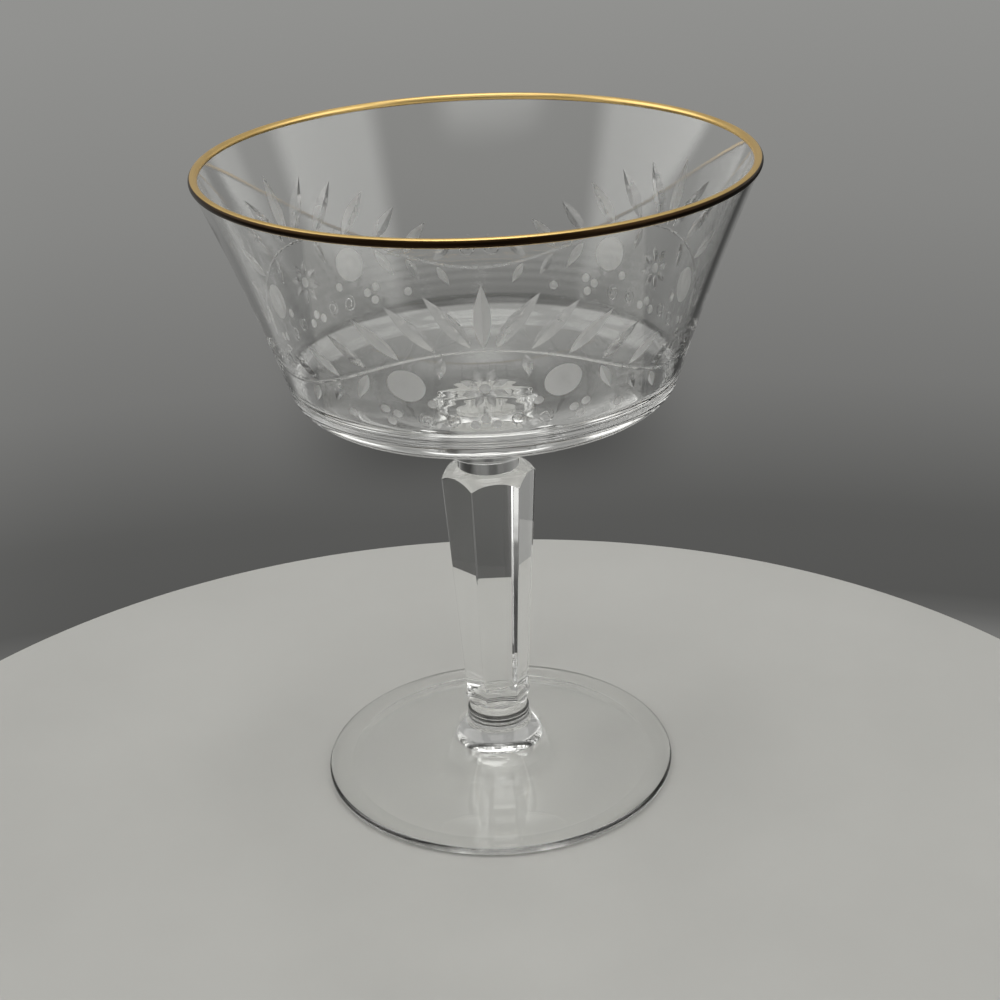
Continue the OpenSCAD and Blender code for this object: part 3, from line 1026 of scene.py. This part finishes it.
def fired_gold():
    """Thin satin gold with fine brush lines round it, its outer face tinted near-black as a painted
    reflection of the dim room in front.
    """
    material, tree, shader = new_material("fired gold")
    place = tree.nodes.new("ShaderNodeTexCoord").outputs["Object"]
    parts = add_node(tree, "ShaderNodeSeparateXYZ", Vector=place).outputs
    flat = add_node(tree, "ShaderNodeCombineXYZ", X=parts[0], Y=parts[1])
    length = add_node(tree, "ShaderNodeVectorMath", {"operation": "LENGTH"}, _0=flat.outputs[0])
    radius = length.outputs["Value"]
    section = add_node(tree, "ShaderNodeCombineXYZ", X=radius, Z=parts[2])
    lines = noise(tree, section.outputs[0], 9000.0, Detail=2.0)
    cloud = noise(tree, place, 130.0, Detail=4.0, Roughness=0.6)
    both = math_node(tree, "MULTIPLY", lines, cloud)
    # Painted dark reflection: the gold's outer face is tinted near-black in place of the dim room
    # it mirrors
    outer = stretched(tree, radius, (LIP_C[0] + DARK_REFLECTION_FROM * LIP_R) * MM,
                      (LIP_C[0] + DARK_REFLECTION_TO * LIP_R) * MM)
    tint = mixed(tree, outer, mixed(tree, cloud, *GOLD_TINTS), mixed(tree, cloud, *DARK_REFLECTION_TINTS))
    set_surface(tree, shader, tint, value_range(tree, both, 0.3, 0.55), both, BRUSH_DEPTH)
    shader.inputs["Metallic"].default_value = 1.0
    return material


# Round floor, its middle set towards the camera so that its far edge is the horizon
# and its top a hair below the foot, so that no two faces share a plane
FLOOR_MIDDLE = (-3.8, -40.3)
FLOOR_LEVEL = -0.03
FLOOR_REACH = 140.8
FLOOR_DEPTH = 9.0
FLOOR_EDGE_R = 1.2


def pale_floor():
    """Plain pale round top with a softened edge."""
    sector = Sector()
    edge = FLOOR_REACH - FLOOR_EDGE_R
    side = Outline((0.0, -FLOOR_DEPTH)).to((edge, -FLOOR_DEPTH), POLISHED, 4).corner()
    side.arc((edge, -FLOOR_EDGE_R), FLOOR_EDGE_R, 0, 90, 8)
    side.to((0.0, 0.0), POLISHED, 6)
    sector.turn(side, math.tau, 192)
    mesh = sector.mesh("floor")
    mesh.transform(Matrix.Translation(Vector((*FLOOR_MIDDLE, FLOOR_LEVEL)) * MM))
    floor = bpy.data.objects.new("floor", mesh)
    bpy.context.scene.collection.objects.link(floor)
    mesh.polygons.foreach_set("use_smooth", [True] * len(mesh.polygons))
    crease_facets(mesh)
    material, tree, shader = new_material("pale floor")
    place = tree.nodes.new("ShaderNodeTexCoord").outputs["Object"]
    cloud = noise(tree, place, 14.0, Detail=4.0, Roughness=0.6)
    tree.links.new(mixed(tree, cloud, *FLOOR_TINTS), shader.inputs["Base Color"])
    tree.links.new(value_range(tree, cloud, 0.42, 0.52), shader.inputs["Roughness"])
    mesh.materials.append(material)


# Brightness of the backdrop by the sine of the height angle, and of the dim room round it
BACKDROP = ((-1.0, 0.3), (-0.5, 0.3), (-0.465, 0.09), (-0.425, 0.1), (-0.36, 0.18), (-0.27, 0.24),
            (-0.17, 0.285), (0.1, 0.33), (1.0, 0.36))
ROOM = 0.05
LIGHT_TINT = (1.0, 1.0, 0.97)

# Soft patches of light: brightness, middle and half width round the glass in degrees from straight
# behind it, lowest and highest sine of the height angle, and softness of the edges across and up
LEFT_LIGHT = (1.6, -88.0, 29.0, 0.21, 0.85, 7.0, 0.03)
RIGHT_LIGHT = (1.6, 107.0, 25.0, 0.2, 0.85, 7.0, 0.05)
TOP_LIGHT = (2.6, 0.0, 360.0, 0.955, 2.0, 9.0, 0.015)
FRONT_LIGHT = (1.2, 189.0, 24.0, 0.5, 0.8, 9.0, 0.04)
LEFT_FILL = (0.5, -142.0, 22.0, -0.4, 0.08, 9.0, 0.1)
RIGHT_FILL = (0.5, 142.0, 22.0, -0.4, 0.08, 9.0, 0.1)
LEFT_GLOW = (0.12, -46.0, 20.0, -0.55, -0.1, 14.0, 0.1)
RIGHT_GLOW = (0.5, 47.0, 10.0, 0.045, 0.25, 5.0, 0.015)
BACK_LIGHT = (2.4, 0.0, 9.0, 0.82, 0.905, 7.0, 0.02)
LIGHTS = (LEFT_LIGHT, RIGHT_LIGHT, TOP_LIGHT, FRONT_LIGHT, LEFT_FILL, RIGHT_FILL,
          LEFT_GLOW, RIGHT_GLOW, BACK_LIGHT)

# Low part of the backdrop, which is narrower than the part above the glass, and the shade on it
LOW_BACKDROP = (1.0, -20.0, 42.0, -2.0, 2.0, 5.0, 0.05)
STEM_SHADE = (0.5, 0.0, 5.0, -0.405, -0.315, 2.5, 0.02)

# How far back the high part of the backdrop fades in, and the sines at which it takes over
HIGH_PART_FROM, HIGH_PART_TO = -0.45, 0.35
LIFT_FROM, LIFT_TO = 0.01, 0.06


def soft_patch(tree, azimuth, height, patch):
    """Brightness of one soft-edged patch in a direction."""
    bright, middle, half, lowest, highest, edge, up_edge = patch
    aside = math_node(tree, "SUBTRACT", azimuth, math.radians(middle))
    aside = math_node(tree, "ABSOLUTE", math_node(tree, "WRAP", aside, math.pi, -math.pi))
    across = stretched(tree, math_node(tree, "SUBTRACT", math.radians(half), aside),
                       -math.radians(edge), math.radians(edge))
    above = stretched(tree, height, lowest - up_edge, lowest + up_edge)
    below = stretched(tree, math_node(tree, "SUBTRACT", highest, height), -up_edge, up_edge)
    shape = math_node(tree, "MULTIPLY", math_node(tree, "MULTIPLY", above, below), across)
    return math_node(tree, "MULTIPLY", shape, bright)


def surroundings():
    """Grey backdrop, darkest above the floor's far edge, a dim room in front and soft lights."""
    world = bpy.data.worlds.new("studio")
    bpy.context.scene.world = world
    world.use_nodes = True
    tree = world.node_tree
    place = tree.nodes.new("ShaderNodeTexCoord").outputs["Generated"]
    x, y, height = add_node(tree, "ShaderNodeSeparateXYZ", Vector=place).outputs
    share = add_node(tree, "ShaderNodeMapRange", Value=height, From_Min=-1.0, From_Max=1.0)
    ramp = add_node(tree, "ShaderNodeValToRGB", Fac=share.outputs[0])
    stops = ramp.color_ramp.elements
    while len(stops) < len(BACKDROP):
        stops.new(0.5)
    for stop, (sine, bright) in zip(stops, BACKDROP):
        stop.position = (sine + 1) / 2
        stop.color = (bright, bright, bright, 1)
    azimuth = math_node(tree, "ARCTAN2", x, y)
    high_part = stretched(tree, y, HIGH_PART_FROM, HIGH_PART_TO)
    low_part = soft_patch(tree, azimuth, height, LOW_BACKDROP)
    lifted = stretched(tree, height, LIFT_FROM, LIFT_TO)
    behind = add_node(tree, "ShaderNodeMix", _0=lifted, _2=low_part, _3=high_part).outputs[0]
    shade = math_node(tree, "SUBTRACT", 1.0, soft_patch(tree, azimuth, height, STEM_SHADE))
    shaded = math_node(tree, "MULTIPLY", ramp.outputs[0], shade)
    over_room = math_node(tree, "SUBTRACT", shaded, ROOM)
    total = math_node(tree, "MULTIPLY_ADD", over_room, behind, ROOM)
    for light in LIGHTS:
        total = math_node(tree, "ADD", total, soft_patch(tree, azimuth, height, light))
    background = tree.nodes["Background"]
    background.inputs["Color"].default_value = (*LIGHT_TINT, 1)
    tree.links.new(total, background.inputs["Strength"])


# Camera found from the lip, the foot and the stem in the photograph, for a square image
CAMERA_PLACE = (0.0, -0.32013, 0.20544)
CAMERA_YAW, CAMERA_PITCH, CAMERA_ROLL = 0.006, 0.434, -0.04
CAMERA_LENS = 66.863


def make_camera():
    data = bpy.data.cameras.new("camera")
    data.lens, data.sensor_width = CAMERA_LENS, 36.0
    data.clip_start = 0.01
    camera = bpy.data.objects.new("camera", data)
    bpy.context.scene.collection.objects.link(camera)
    forward = Vector((math.sin(CAMERA_YAW) * math.cos(CAMERA_PITCH),
                      math.cos(CAMERA_YAW) * math.cos(CAMERA_PITCH), -math.sin(CAMERA_PITCH)))
    right = Vector((math.cos(CAMERA_YAW), -math.sin(CAMERA_YAW), 0.0))
    up = right.cross(forward)
    turned_right = math.cos(CAMERA_ROLL) * right + math.sin(CAMERA_ROLL) * up
    turned_up = math.cos(CAMERA_ROLL) * up - math.sin(CAMERA_ROLL) * right
    axes = Matrix((turned_right, turned_up, -forward)).transposed().to_4x4()
    camera.matrix_world = Matrix.Translation(CAMERA_PLACE) @ axes
    bpy.context.scene.camera = camera


def studio():
    surroundings()
    scene = bpy.context.scene
    scene.view_settings.view_transform = "Standard"
    scene.cycles.max_bounces = 28
    scene.cycles.transmission_bounces = 28
    scene.cycles.glossy_bounces = 12
    scene.cycles.transparent_max_bounces = 48
    scene.cycles.blur_glossy = 0.0
    scene.cycles.use_denoising = True


def make_glass():
    joint = hot_joint()
    blown = clear_glass("blown glass", film_high=0.02, ripple_scale=45.0, ripple_depth=0.02)
    cut = ground_glass("satin cut", low_end=0.2, high_end=0.3, grain_depth=0.002, clear=0.8)
    matt = ground_glass("matt hollow", low_end=0.5, high_end=0.65, grain_depth=0.003, clear=0.4)
    pressed = clear_glass("pressed glass", film_high=0.02, ripple_scale=70.0, ripple_depth=0.02)
    panelled = clear_glass("polished panels", film_high=0.015, ripple_scale=110.0,
                           ripple_depth=0.006, shaded_grooves=True)
    ringed = clear_glass("ringed glass", film_high=0.02, ripple_scale=70.0,
                         ripple_depth=0.02, shaded_grooves=True)
    make_bowl({"Polished": blown, "Joint": joint, "Cut": cut, "Matt": matt})
    make_gilding({"Polished": fired_gold()})
    make_button({"Polished": pressed, "Joint": joint})
    make_stem({"Polished": panelled, "Joint": joint})
    make_collar({"Polished": ringed, "Joint": joint})
    make_foot({"Polished": ringed, "Joint": joint})


make_glass()
pale_floor()
studio()
make_camera()
